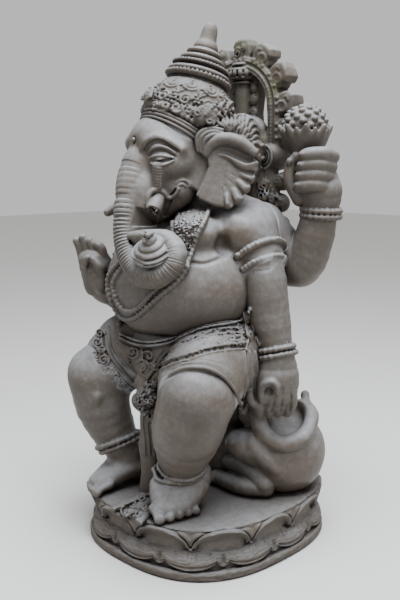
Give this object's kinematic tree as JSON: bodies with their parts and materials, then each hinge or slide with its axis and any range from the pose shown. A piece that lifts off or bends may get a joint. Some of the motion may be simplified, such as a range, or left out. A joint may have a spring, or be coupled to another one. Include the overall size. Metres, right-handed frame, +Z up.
{
  "type": "ganesha statue",
  "caption": "Seated stone elephant-headed figure with raised and lowered arms, pointed crown and arched halo, made in one piece with an oval lotus plinth.",
  "frame": {"origin": "centre of the statue's box at the plinth's flat underside", "axes": "+Z up from the plinth to the crown; the figure faces -Y; +X is the figure's own left side"},
  "size_m": [0.4916, 0.456, 1],
  "materials": {
    "stone": "weathered matt grey stone with dark dirt in the hollows"
  },
  "bodies": {
    "root": {"ganesha_statue": "stone"}
  },
  "joints": []
}
